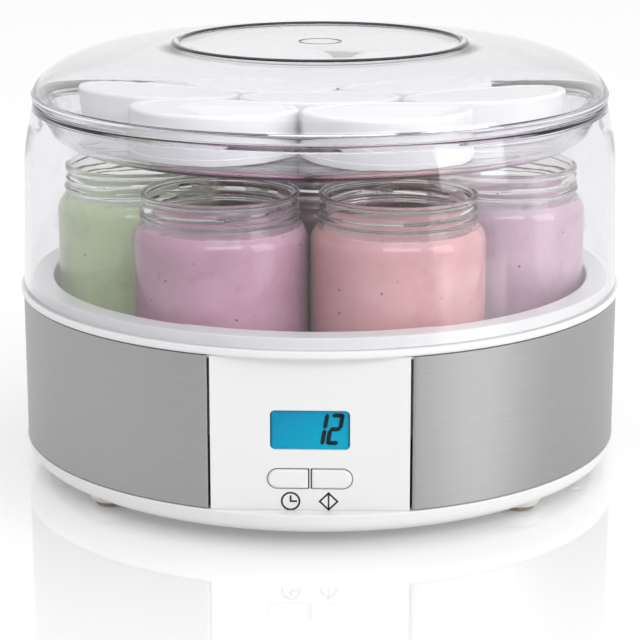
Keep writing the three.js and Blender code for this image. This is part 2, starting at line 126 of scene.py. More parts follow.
def turned(points, sides=FINE, span=None, longest=1000, centre=(0, 0, 0)):
    """A mesh turned about Z from a profile listed anticlockwise.

    The profile starts and ends on the axis, or closes on itself. span gives the first and last angle in
    degrees of a part turn, whose ends are capped."""
    on_axis = points[0][0] == 0 and points[-1][0] == 0
    profile = soften(points, closed=not on_axis)
    if not on_axis:
        profile.append(profile[0].copy())
    profile = subdivided(profile, longest)
    if not on_axis:
        profile.pop()
    first, last = span or (0, 360)
    columns = sides + (1 if span else 0)
    angles = [math.radians(first + (last - first) * k / sides) for k in range(columns)]
    build = bmesh.new()
    rows = []
    for radius, height in profile:
        if radius < 1e-6:
            rows.append([build.verts.new((0, 0, height))] * columns)
        else:
            places = [(radius * math.cos(a), radius * math.sin(a), height) for a in angles]
            rows.append([build.verts.new(place) for place in places])
    pairs = list(zip(rows, rows[1:]))
    if not on_axis:
        pairs.append((rows[-1], rows[0]))
    for low, high in pairs:
        for k in range(sides):
            n = (k + 1) % columns
            corners = list(dict.fromkeys([low[k], low[n], high[n], high[k]]))
            if len(corners) > 2:
                build.faces.new(corners)
    if span:
        build.faces.new([row[0] for row in reversed(rows)])
        build.faces.new([row[-1] for row in rows])
    bmesh.ops.translate(build, verts=build.verts, vec=Vector(centre))
    return to_mesh(build)


def to_mesh(build):
    """A finished mesh in metres from a bmesh in millimetres."""
    bmesh.ops.recalc_face_normals(build, faces=build.faces)
    bmesh.ops.scale(build, verts=build.verts, vec=(MM, MM, MM))
    mesh = bpy.data.meshes.new("mesh")
    build.to_mesh(mesh)
    build.free()
    return mesh


def plate(outlines, front, back, bevel=0.0):
    """An upright plate between two Y values.

    The first outline of (x, z) points is its edge and the rest are holes."""
    curve = bpy.data.curves.new("outline", "CURVE")
    curve.dimensions = "2D"
    curve.fill_mode = "BOTH"
    curve.extrude = ((back - front) / 2 - bevel) * MM
    curve.bevel_depth = bevel * MM
    curve.offset = -bevel * MM
    curve.bevel_resolution = 3
    for outline in outlines:
        spline = curve.splines.new("POLY")
        spline.points.add(len(outline) - 1)
        spline.use_cyclic_u = True
        for point, (x, z) in zip(spline.points, outline):
            point.co = (x * MM, z * MM, 0, 1)
    holder = bpy.data.objects.new("outline", curve)
    mesh = bpy.data.meshes.new_from_object(holder)
    bpy.data.objects.remove(holder)
    build = bmesh.new()
    build.from_mesh(mesh)
    bmesh.ops.remove_doubles(build, verts=build.verts, dist=1e-7)
    for vert in build.verts:
        x, z, depth = vert.co
        vert.co = (x, (front + back) / 2 * MM - depth, z)
    bmesh.ops.recalc_face_normals(build, faces=build.faces)
    build.to_mesh(mesh)
    build.free()
    return mesh


def block(low, high):
    build = bmesh.new()
    bmesh.ops.create_cube(build, size=1)
    size, centre = Vector(high) - Vector(low), (Vector(high) + Vector(low)) / 2
    bmesh.ops.scale(build, verts=build.verts, vec=size)
    bmesh.ops.translate(build, verts=build.verts, vec=centre)
    return to_mesh(build)


def combine(base, tools):
    """The base mesh after each (operation, mesh) tool: DIFFERENCE, UNION or INTERSECT."""
    target = bpy.data.objects.new("target", base)
    bpy.context.scene.collection.objects.link(target)
    helpers = []
    for operation, mesh in tools:
        helper = bpy.data.objects.new("tool", mesh)
        bpy.context.scene.collection.objects.link(helper)
        helpers.append(helper)
        change = target.modifiers.new(operation, "BOOLEAN")
        change.operation = operation
        change.solver = "EXACT"
        change.object = helper
    graph = bpy.context.evaluated_depsgraph_get()
    graph.update()
    result = bpy.data.meshes.new_from_object(target.evaluated_get(graph), depsgraph=graph)
    for spare in [target, *helpers]:
        bpy.data.objects.remove(spare)
    return result


def displaced(mesh, move):
    """The mesh with each vertex moved by what move(position in mm) returns, in millimetres."""
    for vert in mesh.vertices:
        vert.co += Vector(move(vert.co / MM)) * MM
    return mesh


def merged(*meshes):
    build = bmesh.new()
    for mesh in meshes:
        build.from_mesh(mesh)
    result = bpy.data.meshes.new("mesh")
    build.to_mesh(result)
    build.free()
    return result


def add(name, mesh, look, body, slot, *nodes, sharp=32):
    """Puts a finished piece in the scene: smooth, on its body, in place of its CAD nodes. The slot it is
    given is not used.
    """
    piece = bpy.data.objects.new(name, mesh)
    bpy.context.scene.collection.objects.link(piece)
    mesh.materials.clear()
    mesh.materials.append(look)
    mesh.shade_smooth()
    mesh.set_sharp_from_angle(angle=math.radians(sharp))
    even = piece.modifiers.new("even_shading", "WEIGHTED_NORMAL")
    even.keep_sharp = True
    even.weight = 60
    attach(piece, body)
    if nodes:
        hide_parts(*nodes)
    return piece


def clamp(value, low=0.0, high=1.0):
    return max(low, min(high, value))


def smooth_step(value):
    value = clamp(value)
    return value * value * (3 - 2 * value)


# ---- Building materials ---------------------------------------------------------------------------------

class Look:
    """A material in the making: its node tree, its Principled shader and one set of object coordinates."""

    def __init__(self, name, **values):
        self.material = bpy.data.materials.new(name)
        self.material.use_nodes = True
        self.tree = self.material.node_tree
        self.shader = self.tree.nodes["Principled BSDF"]
        for socket, value in values.items():
            self.shader.inputs[socket.replace("_", " ")].default_value = value
        self.coordinates = self.node("ShaderNodeTexCoord").outputs["Object"]

    def node(self, kind, inputs=None, **settings):
        made = self.tree.nodes.new(kind)
        for name, value in settings.items():
            setattr(made, name, value)
        for socket, value in (inputs or {}).items():
            if isinstance(value, bpy.types.NodeSocket):
                self.tree.links.new(value, made.inputs[socket])
            else:
                made.inputs[socket].default_value = value
        return made

    def stretched(self, x, y, z):
        mapping = self.node("ShaderNodeMapping", {"Vector": self.coordinates, "Scale": (x, y, z)})
        return mapping.outputs["Vector"]

    def noise(self, scale, detail=3.0, roughness=0.5, vector=None):
        inputs = {"Vector": vector or self.coordinates, "Scale": scale}
        inputs.update({"Detail": detail, "Roughness": roughness})
        return self.node("ShaderNodeTexNoise", inputs).outputs["Fac"]

    def ramp(self, value, *stops):
        """A colour ramp over stops of (position, colour)."""
        made = self.node("ShaderNodeValToRGB", {"Fac": value})
        stretch = made.color_ramp
        while len(stretch.elements) < len(stops):
            stretch.elements.new(0.5)
        for element, (position, colour) in zip(stretch.elements, stops):
            element.position = position
            element.color = (*colour, 1)
        return made.outputs["Color"]

    def spread(self, value, low, high, start=0.3, end=0.7):
        inputs = {"Value": value, "From Min": start, "From Max": end, "To Min": low, "To Max": high}
        return self.node("ShaderNodeMapRange", inputs).outputs["Result"]

    def mix(self, share, first, second):
        made = self.node("ShaderNodeMix", data_type="RGBA")
        for socket, value in ((0, share), (6, first), (7, second)):
            if isinstance(value, bpy.types.NodeSocket):
                self.tree.links.new(value, made.inputs[socket])
            else:
                made.inputs[socket].default_value = value if socket == 0 else (*value, 1)
        return made.outputs[2]

    def feed(self, socket, value):
        self.tree.links.new(value, self.shader.inputs[socket])

    def bump(self, height, strength, distance, after=None):
        inputs = {"Height": height, "Strength": strength, "Distance": distance}
        if after is not None:
            inputs["Normal"] = after
        return self.node("ShaderNodeBump", inputs).outputs["Normal"]

    def let_lamps_through(self):
        """Lamps shine through this clear solid on to what is inside it."""
        path = self.node("ShaderNodeLightPath")
        open_side = self.node("ShaderNodeBsdfTransparent")
        glass = self.shader.outputs["BSDF"]
        inputs = {0: path.outputs["Is Shadow Ray"], 1: glass, 2: open_side.outputs["BSDF"]}
        mix = self.node("ShaderNodeMixShader", inputs)
        self.tree.links.new(mix.outputs["Shader"], self.tree.nodes["Material Output"].inputs["Surface"])
        return self

    def absorb(self, colour, density):
        """Tints the inside of a clear solid by depth."""
        volume = self.node("ShaderNodeVolumeAbsorption", {"Color": (*colour, 1), "Density": density})
        output = self.tree.nodes["Material Output"]
        self.tree.links.new(volume.outputs["Volume"], output.inputs["Volume"])
        return self


def moulded(name, colour, roughness, grain=0.05, coat=0.0):
    """Moulded plastic: a faint tone drift, a fine eggshell grain and a slightly uneven gloss."""
    look = Look(name, Base_Color=(*colour, 1), Roughness=roughness, Coat_Weight=coat, Coat_Roughness=0.12)
    dim = tuple(c * 0.985 for c in colour)
    look.feed("Base Color", look.mix(look.noise(9, 2), dim, colour))
    look.feed("Roughness", look.spread(look.noise(60, 2), roughness * 0.95, roughness * 1.06, 0.1, 0.9))
    look.feed("Normal", look.bump(look.noise(900, 2), grain, 0.00004))
    return look.material


SCRATCH_SCALE = 5200  # across the brushing


def brushed_metal(name, colour, roughness, along):
    """Metal with fine parallel scratches: stretched noise in tone, gloss and bump."""
    look = Look(name, Base_Color=(*colour, 1), Metallic=1.0, Roughness=roughness, Anisotropic=0.55)
    scratches = look.noise(1, 4, 0.7, look.stretched(along, along, SCRATCH_SCALE))
    streaks = look.spread(scratches, 0.0, 1.0)
    light = tuple(min(1, c * 1.06) for c in colour)
    dark = tuple(c * 0.93 for c in colour)
    look.feed("Base Color", look.mix(streaks, dark, light))
    look.feed("Roughness", look.spread(streaks, roughness * 0.88, roughness * 1.15, 0, 1))
    look.feed("Normal", look.bump(streaks, 0.12, 0.00002))
    tangent = look.node("ShaderNodeTangent", direction_type="RADIAL", axis="Z")
    look.feed("Tangent", tangent.outputs["Tangent"])
    return look.material


def clear(name, ior, tint, density, waviness):
    """Clear plastic or glass: faint surface waves, and a tint that deepens along the wall."""
    look = Look(name, Base_Color=(1, 1, 1, 1), Roughness=0.0, IOR=ior, Transmission_Weight=1.0)
    look.feed("Normal", look.bump(look.noise(22, 2), waviness, 0.0006))
    return look.let_lamps_through().absorb(tint, density).material


def yogurt_look(name, colour, speck, specks=0.35):
    """Stirred yogurt: cloudy tone, a satin wet surface and scattered fruit specks."""
    look = Look(name, Roughness=0.32, Subsurface_Weight=0.25, Subsurface_Scale=0.004, Coat_Weight=0.3)
    look.shader.inputs["Subsurface Radius"].default_value = (1.0, 0.6, 0.5)
    deep = tuple(c * 0.84 for c in colour)
    pale = tuple(min(1, c * 1.08 + 0.03) for c in colour)
    cloud = look.ramp(look.noise(38, 6, 0.62), (0.3, deep), (0.48, colour), (0.66, pale))
    cells = look.node("ShaderNodeTexVoronoi", {"Vector": look.coordinates, "Scale": 190.0})
    near = look.spread(cells.outputs["Distance"], 1.0, 0.0, 0.06, 0.13)
    chosen = look.node("ShaderNodeSeparateColor", {"Color": cells.outputs["Color"]}).outputs["Red"]
    kept = look.spread(chosen, 0.0, 1.0, 1 - specks, 1 - specks + 0.12)
    dots = look.node("ShaderNodeMath", {0: near, 1: kept}, operation="MULTIPLY").outputs[0]
    look.feed("Base Color", look.mix(dots, cloud, speck))
    look.feed("Roughness", look.spread(look.noise(120, 3), 0.25, 0.4))
    look.feed("Normal", look.bump(look.noise(160, 4), 0.12, 0.0004))
    return look.material


def rubber_look(name, colour):
    look = Look(name, Base_Color=(*colour, 1), Roughness=0.75)
    dim = tuple(c * 0.8 for c in colour)
    look.feed("Base Color", look.mix(look.noise(420, 5), dim, colour))
    look.feed("Roughness", look.spread(look.noise(300, 3), 0.62, 0.88))
    look.feed("Normal", look.bump(look.noise(1500, 4), 0.35, 0.0001))
    return look.material


def display_look(name):
    """A lit blue display: an even glow that is a little deeper towards the top left, with painted shade in
    a thin dark band along its sides and top.
    """
    look = Look(name, Roughness=0.5, Specular_IOR_Level=0.1, Emission_Strength=1.0)
    low, high = box("lcd_module")
    place = look.node("ShaderNodeSeparateXYZ", {"Vector": look.coordinates})
    across = look.spread(place.outputs["X"], 0.0, 1.0, low.x * MM, high.x * MM)
    up = look.spread(place.outputs["Z"], 1.0, 0.0, low.z * MM, high.z * MM)
    diagonal = look.node("ShaderNodeMath", {0: across, 1: up}, operation="ADD").outputs[0]
    corner = look.spread(diagonal, 0.0, 1.0, 0, 2)
    # Painted shade: a thin dark band along the sides and top of the display stands in for the shadow of the
    # window's edge.
    side = look.node("ShaderNodeMath", {0: place.outputs["X"]}, operation="ABSOLUTE").outputs[0]
    side_shade_mask = look.spread(side, 0.0, 1.0, (WINDOW_HIGH.x - 0.8) * MM, (WINDOW_HIGH.x - 0.2) * MM)
    edge_z = WINDOW_HIGH.z
    top_shade_mask = look.spread(place.outputs["Z"], 0.0, 1.0, (edge_z - 1.0) * MM, (edge_z - 0.3) * MM)
    rim = look.node("ShaderNodeMath", {0: side_shade_mask, 1: top_shade_mask}, operation="MAXIMUM").outputs[0]
    face = look.ramp(corner, (0.1, (0.0, 0.08, 0.12)), (0.9, (0.0, 0.13, 0.19)))
    glow = look.ramp(corner, (0.1, (0.0, 0.16, 0.32)), (0.9, (0.0, 0.25, 0.4)))
    look.feed("Base Color", look.mix(rim, face, (0.0, 0.05, 0.06)))
    look.feed("Emission Color", look.mix(rim, glow, (0.004, 0.07, 0.11)))
    look.feed("Normal", look.bump(look.noise(3000, 2), 0.05, 0.00002))
    return look.material


def board_look(name):
    """Green laminate with darker copper tracks under the varnish."""
    look = Look(name, Roughness=0.4, Coat_Weight=0.3)
    inputs = {"Vector": look.coordinates, "Scale": 330.0}
    inputs.update({"Brick Width": 1.4, "Row Height": 0.3, "Mortar Size": 0.02})
    tracks = look.node("ShaderNodeTexBrick", inputs).outputs["Fac"]
    look.feed("Base Color", look.mix(tracks, (0.012, 0.095, 0.035), (0.03, 0.19, 0.07)))
    look.feed("Normal", look.bump(tracks, 0.3, 0.00005))
    return look.material


WHITE = (0.79, 0.79, 0.785)
LOOKS = {
    "white_plastic": moulded("white_plastic", WHITE, 0.3, coat=0.25),
    # Painted light: the lids' white is lighter than the housing's white, to make up for the light the clear
    # dome takes from them.
    "white_lids": moulded("white_lids", (0.87, 0.87, 0.87), 0.26, coat=0.3),
    "white_underside": moulded("white_underside", (0.76, 0.76, 0.75), 0.5, grain=0.12),
    "steel": brushed_metal("steel", (0.38, 0.38, 0.377), 0.36, along=60),
    "clear_plastic": clear("clear_plastic", 1.47, (0.5, 0.485, 0.58), 50, 0.008),
    "jar_glass": clear("jar_glass", 1.5, (0.42, 0.4, 0.34), 46, 0.06),
    "display_window": clear("display_window", 1.12, (0.8, 0.9, 0.95), 5, 0.01),
    "display": display_look("display"),
    "display_ink": moulded("display_ink", (0.0, 0.006, 0.01), 0.95),
    "print_ink": moulded("print_ink", (0.018, 0.017, 0.018), 0.45),
    "rubber": rubber_look("rubber", (0.36, 0.29, 0.22)),
    "circuit_board": board_look("circuit_board"),
    "black_plastic": moulded("black_plastic", (0.02, 0.02, 0.02), 0.42),
    "screw_steel": brushed_metal("screw_steel", (0.6, 0.6, 0.6), 0.28, along=400),
    "aluminium": brushed_metal("aluminium", (0.72, 0.72, 0.74), 0.4, along=40),
    "silicone": rubber_look("silicone", (0.39, 0.055, 0.024)),
    "fuse_ceramic": moulded("fuse_ceramic", (0.68, 0.64, 0.54), 0.55),
    "transformer_wrap": moulded("transformer_wrap", (0.65, 0.5, 0.045), 0.4),
    "relay_case": moulded("relay_case", (0.025, 0.11, 0.4), 0.35),
    "capacitor_case": moulded("capacitor_case", (0.45, 0.25, 0.05), 0.35),
    "terminal_case": moulded("terminal_case", (0.05, 0.27, 0.07), 0.4),
    "yogurt_plum": yogurt_look("yogurt_plum", (0.17, 0.012, 0.02), (0.02, 0.002, 0.004)),
    "yogurt_lilac": yogurt_look("yogurt_lilac", (0.78, 0.57, 0.7), (0.22, 0.1, 0.18)),
    "yogurt_peach": yogurt_look("yogurt_peach", (0.69, 0.43, 0.32), (0.4, 0.14, 0.05)),
    "yogurt_vanilla": yogurt_look("yogurt_vanilla", (0.74, 0.6, 0.34), (0.25, 0.16, 0.06), 0.2),
    "yogurt_green": yogurt_look("yogurt_green", (0.74, 0.9, 0.56), (0.12, 0.2, 0.06), 0.15),
    "yogurt_mauve": yogurt_look("yogurt_mauve", (0.72, 0.42, 0.56), (0.13, 0.04, 0.09), 0.4),
    "yogurt_pink": yogurt_look("yogurt_pink", (0.93, 0.52, 0.55), (0.32, 0.06, 0.06), 0.3),
}
SLOTS = {entry["node"]: entry["material_slot"] for entry in frame["record"]["subparts"]}

for node_name, cad_object in frame["nodes"].items():
    cad_object.data.materials.clear()
    cad_object.data.materials.append(LOOKS[SLOTS[node_name]])


# ---- Base -----------------------------------------------------------------------------------------------

def inner_basin():
    """The ring, collar and chamber, with the flat pocket wall that clears the controls."""
    top = BASIN_HIGH.z
    shelf, skirt, floor = top - 4, top - 7.1, 39.5
    chamber, wall = 106.0, 2.2
    outside = chamber + wall
    bowl = turned([
        (0, floor - wall),
        (outside, floor - wall, 3.5),
        (outside, skirt),
        (RING_R - 0.9, skirt, 0.3),
        (RING_R, top - 6.3, 0.6),
        (RING_R, shelf, 1.3),
        (COLLAR_R, shelf, 0.25),
        (COLLAR_R, top, 1.1),
        (chamber, top, 1.1),
        (chamber, floor, 3.5),
        (0, floor),
    ])
    pocket, pocket_top = -98.0, 68.0
    space = block((-80, -140, 0), (80, pocket - wall, pocket_top - wall))
    slab_r = outside - 0.4
    slab = turned([(0, floor - 1), (slab_r, floor - 1), (slab_r, pocket_top), (0, pocket_top)])
    keep_wall = block((-80, pocket - wall, 0), (80, pocket, 90))
    keep_ledge = block((-80, -140, pocket_top - wall), (80, pocket, 90))
    flat_wall = combine(slab.copy(), [("INTERSECT", keep_wall)])
    ledge = combine(slab, [("INTERSECT", keep_ledge)])
    return combine(bowl, [("DIFFERENCE", space), ("UNION", flat_wall), ("UNION", ledge)])


def outer_housing():
    """The round shell with its bottom ring, and the flat front wall that the panel sits on."""
    ledge, top = BAND_LOW.z - 0.3, HOUSING_HIGH.z
    wall_r = BAND_R - 1.2
    shell = turned([
        (109.4, HOUSING_LOW.z, 0.4),
        (111.6, HOUSING_LOW.z, 1.2),
        (117.2, HOUSING_LOW.z + 3.2, 5),
        (118.7, ledge, 0.8),
        (wall_r, ledge, 0.2),
        (wall_r, top),
        (wall_r - 2.2, top),
        (wall_r - 2.2, HOUSING_LOW.z + 9),
        (109.4, HOUSING_LOW.z + 2.6, 1),
    ])
    face = PANEL_BACK + 0.3
    slab = turned([(0, ledge - 2), (wall_r - 0.3, ledge - 2), (wall_r - 0.3, top - 0.1), (0, top - 0.1)])
    flat_wall = combine(slab.copy(), [("INTERSECT", block((-60, face, 0), (60, face + 2, 90)))])
    shelf = combine(slab, [("INTERSECT", block((-45, -118, 0), (45, face + 2, ledge)))])
    groove_x, groove_half = 36.5, 0.65
    grooves = [
        block((x - groove_half, -114, ledge), (x + groove_half, face + 2.5, top - 1))
        for x in (-groove_x, groove_x)
    ]
    display_hole = block((-16.6, -114, 34), (16.6, -106, 53.4))
    button_hole = block((-17.2, -114, 20.4), (17.2, -106, 30.6))
    cord_hole = along_y([(0, 105), (5.3, 105), (5.3, 125), (0, 125)], middle("cord_gland").z)
    tools = [
        ("DIFFERENCE", block((-60, -130, ledge), (60, face, 90))),
        ("UNION", flat_wall),
        ("UNION", shelf),
        ("DIFFERENCE", display_hole),
        ("DIFFERENCE", button_hole),
        *[("DIFFERENCE", groove) for groove in grooves],
        ("DIFFERENCE", cord_hole),
    ]
    return combine(shell, tools)


def along_y(points, height, x=0.0, sides=SMALL):
    """A profile of (radius, y) turned about a line along Y at the given height."""
    mesh = turned(points, sides)
    for vert in mesh.vertices:
        across, up, along = vert.co
        vert.co = (across + x * MM, along, height * MM - up)
    return mesh


def steel_band():
    """The thin steel skin round the base, with a fold inwards at both sides of the panel."""
    inside = BAND_R - 0.8
    gap_half = PANEL_HIGH.x + 0.95
    edge = math.degrees(math.asin(gap_half / BAND_R))
    skin = [
        (inside, BAND_LOW.z, 0.2),
        (BAND_R, BAND_LOW.z, 0.3),
        (BAND_R, BAND_HIGH.z, 0.3),
        (inside, BAND_HIGH.z, 0.2),
    ]
    band = turned(skin, sides=FINE, span=(-90 + edge, 270 - edge))
    bend = 1.1

    def roll_in(point):
        """Turns the last stretch before each end inwards round a small radius."""
        if point.y > 0 or abs(point.x) > gap_half + bend:
            return (0, 0, 0)
        share = (gap_half + bend - abs(point.x)) / bend
        return (0, 0.55 * share ** 2, 0)

    fine_ends = subdivide_near(band, gap_half + 2 * bend)
    return displaced(fine_ends, roll_in)


def subdivide_near(mesh, half_width):
    """Adds upright cuts to the front faces within the given distance of the middle plane."""
    build = bmesh.new()
    build.from_mesh(mesh)
    for i in range(8):
        for side in (-1, 1):
            place = Vector((side * (half_width - 0.35 * i) * MM, 0, 0))
            geometry = [*build.verts, *build.edges, *build.faces]
            front = [part for part in geometry if on_front_half(part)]
            bmesh.ops.bisect_plane(build, geom=front, plane_co=place, plane_no=(1, 0, 0))
    build.to_mesh(mesh)
    build.free()
    return mesh


def on_front_half(part):
    """True for what lies wholly on the front half."""
    verts = [part] if isinstance(part, bmesh.types.BMVert) else part.verts
    return all(vert.co.y < 0 for vert in verts)


add("fine_basin", inner_basin(), LOOKS["white_plastic"], "base", "white_plastic", "inner_basin")
add("fine_housing", outer_housing(), LOOKS["white_plastic"], "base", "white_plastic", "outer_housing")
add("fine_band", steel_band(), LOOKS["steel"], "base", "steel", "steel_band")


def foot(node):
    low, high = box(node)
    radius, centre = (high.x - low.x) / 2, (low + high) / 2
    profile = [
        (0, 0.4),
        (radius - 2.4, 0.4, 0.3),
        (radius - 1.9, 0, 0.3),
        (radius, 0, 1.0),
        (radius, high.z, 0.3),
        (0, high.z),
    ]
    return turned(profile, SMALL, centre=(centre.x, centre.y, 0))


BOARD_CORNERS = ((-24, -6), (36, -6), (-24, 34), (36, 34))
BOSS_R = 3
VENT_ROWS = (-68, -60, -52, -44, -36)
VENT_HALF_LENGTH, VENT_HALF_WIDTH = 22, 1.5
SCREW_BORE_R = 1.9


def bottom_cover():
    """The plate under the base, with foot sockets, power board bosses, vent slots and screw holes."""
    low, high = box("bottom_cover")
    plate_low = HOUSING_LOW.z + 0.3
    thick = 2.2
    plate_high = plate_low + thick
    solid = turned([(0, plate_low), (high.x, plate_low, 0.3), (high.x, plate_high, 0.3), (0, plate_high)])
    boss_top = box("power_board")[0].z - 0.3
    tools = []
    for node in FOOT_NODES:
        pad_low, pad_high = box(node)
        place = (pad_low + pad_high) / 2
        bore = (pad_high.x - pad_low.x) / 2 + 0.3
        socket = turned([
            (0, pad_high.z + 0.3),
            (bore, pad_high.z + 0.3),
            (bore, low.z, 0.2),
            (bore + 1.0, low.z, 0.5),
            (SOCKET_R, HOUSING_LOW.z - 0.3, 0.4),
            (SOCKET_NECK_R, HOUSING_LOW.z - 0.3),
            (SOCKET_NECK_R, plate_low + 0.8),
            (0, plate_low + 0.8),
        ], SMALL, centre=(place.x, place.y, 0))
        tools.append(("UNION", socket))
    for x, y in BOARD_CORNERS:
        boss = [(0, plate_low + 1), (BOSS_R, plate_low + 1), (BOSS_R, boss_top, 0.3), (0, boss_top)]
        tools.append(("UNION", turned(boss, SMALL, centre=(x, y, 0))))
    for y in VENT_ROWS:
        front, back = y - VENT_HALF_WIDTH, y + VENT_HALF_WIDTH
        slot = block((-VENT_HALF_LENGTH, front, 0), (VENT_HALF_LENGTH, back, 20))
        tools.append(("DIFFERENCE", slot))
    for node in SCREW_NODES:
        place = middle(node)
        bore = [(0, 0), (SCREW_BORE_R, 0), (SCREW_BORE_R, 25), (0, 25)]
        tools.append(("DIFFERENCE", turned(bore, SMALL, centre=(place.x, place.y, 0))))
    return combine(solid, tools)


def screw(node):
    """A pan-head screw with a cross recess, its head facing down."""
    low, high = box(node)
    centre = (low + high) / 2
    head_r, shank_r = (high.x - low.x) / 2, 1.5
    head_top = low.z + 1.8
    body = turned([
        (0, low.z),
        (head_r, low.z, 1.2),
        (head_r, head_top, 0.2),
        (shank_r, head_top),
        (shank_r, high.z, 0.5),
        (0, high.z),
    ], SCREW_SIDES, centre=(centre.x, centre.y, 0))
    bottom, top = low.z - 1, low.z + 1.0
    cross = [
        block((centre.x - half_x, centre.y - half_y, bottom), (centre.x + half_x, centre.y + half_y, top))
        for half_x, half_y in ((1.7, 0.35), (0.35, 1.7))
    ]
    return combine(body, [("DIFFERENCE", arm) for arm in cross])


for node_name in FOOT_NODES:
    add(f"fine_{node_name}", foot(node_name), LOOKS["rubber"], "base", "rubber", node_name)
for node_name in SCREW_NODES:
    add(f"fine_{node_name}", screw(node_name), LOOKS["screw_steel"], "base", "screw_steel", node_name)
underside = LOOKS["white_underside"]
add("fine_bottom_cover", bottom_cover(), underside, "base", "white_underside", "bottom_cover")


def cord_gland():
    low, high = box("cord_gland")
    bore, sleeve, flange = 3.2, 5.0, (high.x - low.x) / 2
    inner_face = 113.8
    profile = [
        (bore, low.y, 0.4),
        (flange - 0.4, low.y, 0.5),
        (flange - 0.4, inner_face, 0.3),
        (sleeve, inner_face),
        (sleeve, BAND_R + 0.3),
        (flange, BAND_R + 0.3, 0.1),
        (flange, high.y, 0.35),
        (bore, high.y, 0.35),
    ]
    return along_y(profile, middle("cord_gland").z)


add("fine_gland", cord_gland(), underside, "base", "white_underside", "cord_gland")


# ---- Controls -------------------------------------------------------------------------------------------

def arc(centre, radius, start, end, steps=10):
    """Points on an arc in the XZ plane, with angles in degrees."""
    angles = [math.radians(start + (end - start) * k / steps) for k in range(steps + 1)]
    return [(centre[0] + radius * math.cos(a), centre[1] + radius * math.sin(a)) for a in angles]


def rounded_rectangle(low_x, high_x, low_z, high_z, corner):
    return (
        arc((high_x - corner, low_z + corner), corner, -90, 0)
        + arc((high_x - corner, high_z - corner), corner, 0, 90)
        + arc((low_x + corner, high_z - corner), corner, 90, 180)
        + arc((low_x + corner, low_z + corner), corner, 180, 270)
    )


BUTTON_LOW, BUTTON_HIGH = box("button_right")
BUTTON_Z = (BUTTON_LOW.z + BUTTON_HIGH.z) / 2
BUTTON_HALF = 3.5
BUTTON_INNER = BUTTON_LOW.x
BUTTON_OUTER = BUTTON_HIGH.x - 1
BUTTON_GAP = 0.45  # round each cap in the panel
WINDOW_GAP = 0.2


def button_outline(side, margin=0.0):
    """Round at the outer end and square, with small corners, towards the other button."""
    inner, half = BUTTON_INNER - margin, BUTTON_HALF + margin
    corner = 0.5
    points = arc((BUTTON_OUTER - BUTTON_HALF, BUTTON_Z), half, -90, 90, 24)
    points += arc((inner + corner, BUTTON_Z + half - corner), corner, 90, 180, 4)
    points += arc((inner + corner, BUTTON_Z - half + corner), corner, 180, 270, 4)
    return [(side * x, z) for x, z in points][::side]


def window_outline(margin=0.0):
    low_x, high_x = WINDOW_LOW.x - margin, WINDOW_HIGH.x + margin
    return rounded_rectangle(low_x, high_x, WINDOW_LOW.z - margin, WINDOW_HIGH.z + margin, 1.6 + margin)


def control_panel():
    edge = rounded_rectangle(PANEL_LOW.x, PANEL_HIGH.x, PANEL_LOW.z - 0.3, PANEL_HIGH.z, 0.2)
    buttons = [button_outline(side, BUTTON_GAP) for side in (-1, 1)]
    holes = [window_outline(WINDOW_GAP), *buttons]
    return plate([edge, *holes], PANEL_FACE, PANEL_BACK, bevel=0.22)


def button(side):
    """The crowned cap with its retaining flange and stem."""
    low, high = box("button_right")
    cap = plate([button_outline(side)], low.y, PANEL_BACK + 0.3, bevel=0.8)
    middle_x = (BUTTON_INNER + BUTTON_OUTER) / 2

    def crown(point):
        if point.y > low.y + 0.6:
            return (0, 0, 0)
        return (0, 0.12 * (abs(point.x) - middle_x) ** 2 / 50 + 0.25 * (point.z - BUTTON_Z) ** 2 / 12, 0)

    near, far = BUTTON_INNER, high.x
    across = (near, far) if side > 0 else (-far, -near)
    flange_front, flange_back = PANEL_BACK + 0.3, PANEL_BACK + 1.1
    flange = plate([rounded_rectangle(*across, low.z, high.z, 0.8)], flange_front, flange_back, bevel=0.1)
    stem_profile = [(0, flange_back), (1.8, flange_back), (1.8, high.y, 0.3), (0, high.y)]
    stem = along_y(stem_profile, BUTTON_Z, side * middle_x)
    return merged(displaced(cap, crown), flange, stem)


DIGIT_SEGMENTS = {"1": "bc", "2": "abged"}
STROKE = 1.6
SLANT = 0.17


def segment(kind, width, height):
    """One bar of a seven-segment digit as six points, in the digit's own upright frame."""
    half = height / 2
    level = {"a": height, "g": half, "d": 0}
    side = {"b": (width, half), "c": (width, 0), "e": (0, 0)}
    s, gap = STROKE / 2, 0.14
    if kind in level:
        z = level[kind] + {"a": -s, "g": 0, "d": s}[kind]
        left, right = s + gap, width - s - gap
        return [(left - s * 0.6, z), (left + s * 0.4, z - s), (right - s * 0.4, z - s),
                (right + s * 0.6, z), (right - s * 0.4, z + s), (left + s * 0.4, z + s)]
    x = side[kind][0] + (s if side[kind][0] == 0 else -s)
    low = side[kind][1] + gap + s * 0.5
    high = low + half - 2 * gap - s
    return [(x, low - s * 0.7), (x + s, low + s * 0.3), (x + s, high - s * 0.3),
            (x, high + s * 0.7), (x - s, high - s * 0.3), (x - s, low + s * 0.3)]


def display_digits():
    """The set time, slanted bars just in front of the display's face."""
    face = box("lcd_module")[0].y
    height = 11.9
    foot_z = WINDOW_LOW.z + 1.2
    right = WINDOW_HIGH.x - 3.6
    width = 5.1
    bars = []
    for digit, left in (("1", right - 2 * width - 0.4), ("2", right - width)):
        for kind in DIGIT_SEGMENTS[digit]:
            outline = [(left + x + SLANT * z, foot_z + z) for x, z in segment(kind, width, height)]
            bars.append(plate([outline], face - 0.08, face - 0.02))
    return merged(*bars)


PRINT = (PANEL_FACE - 0.03, PANEL_FACE + 0.02)  # front and back of the printed marks


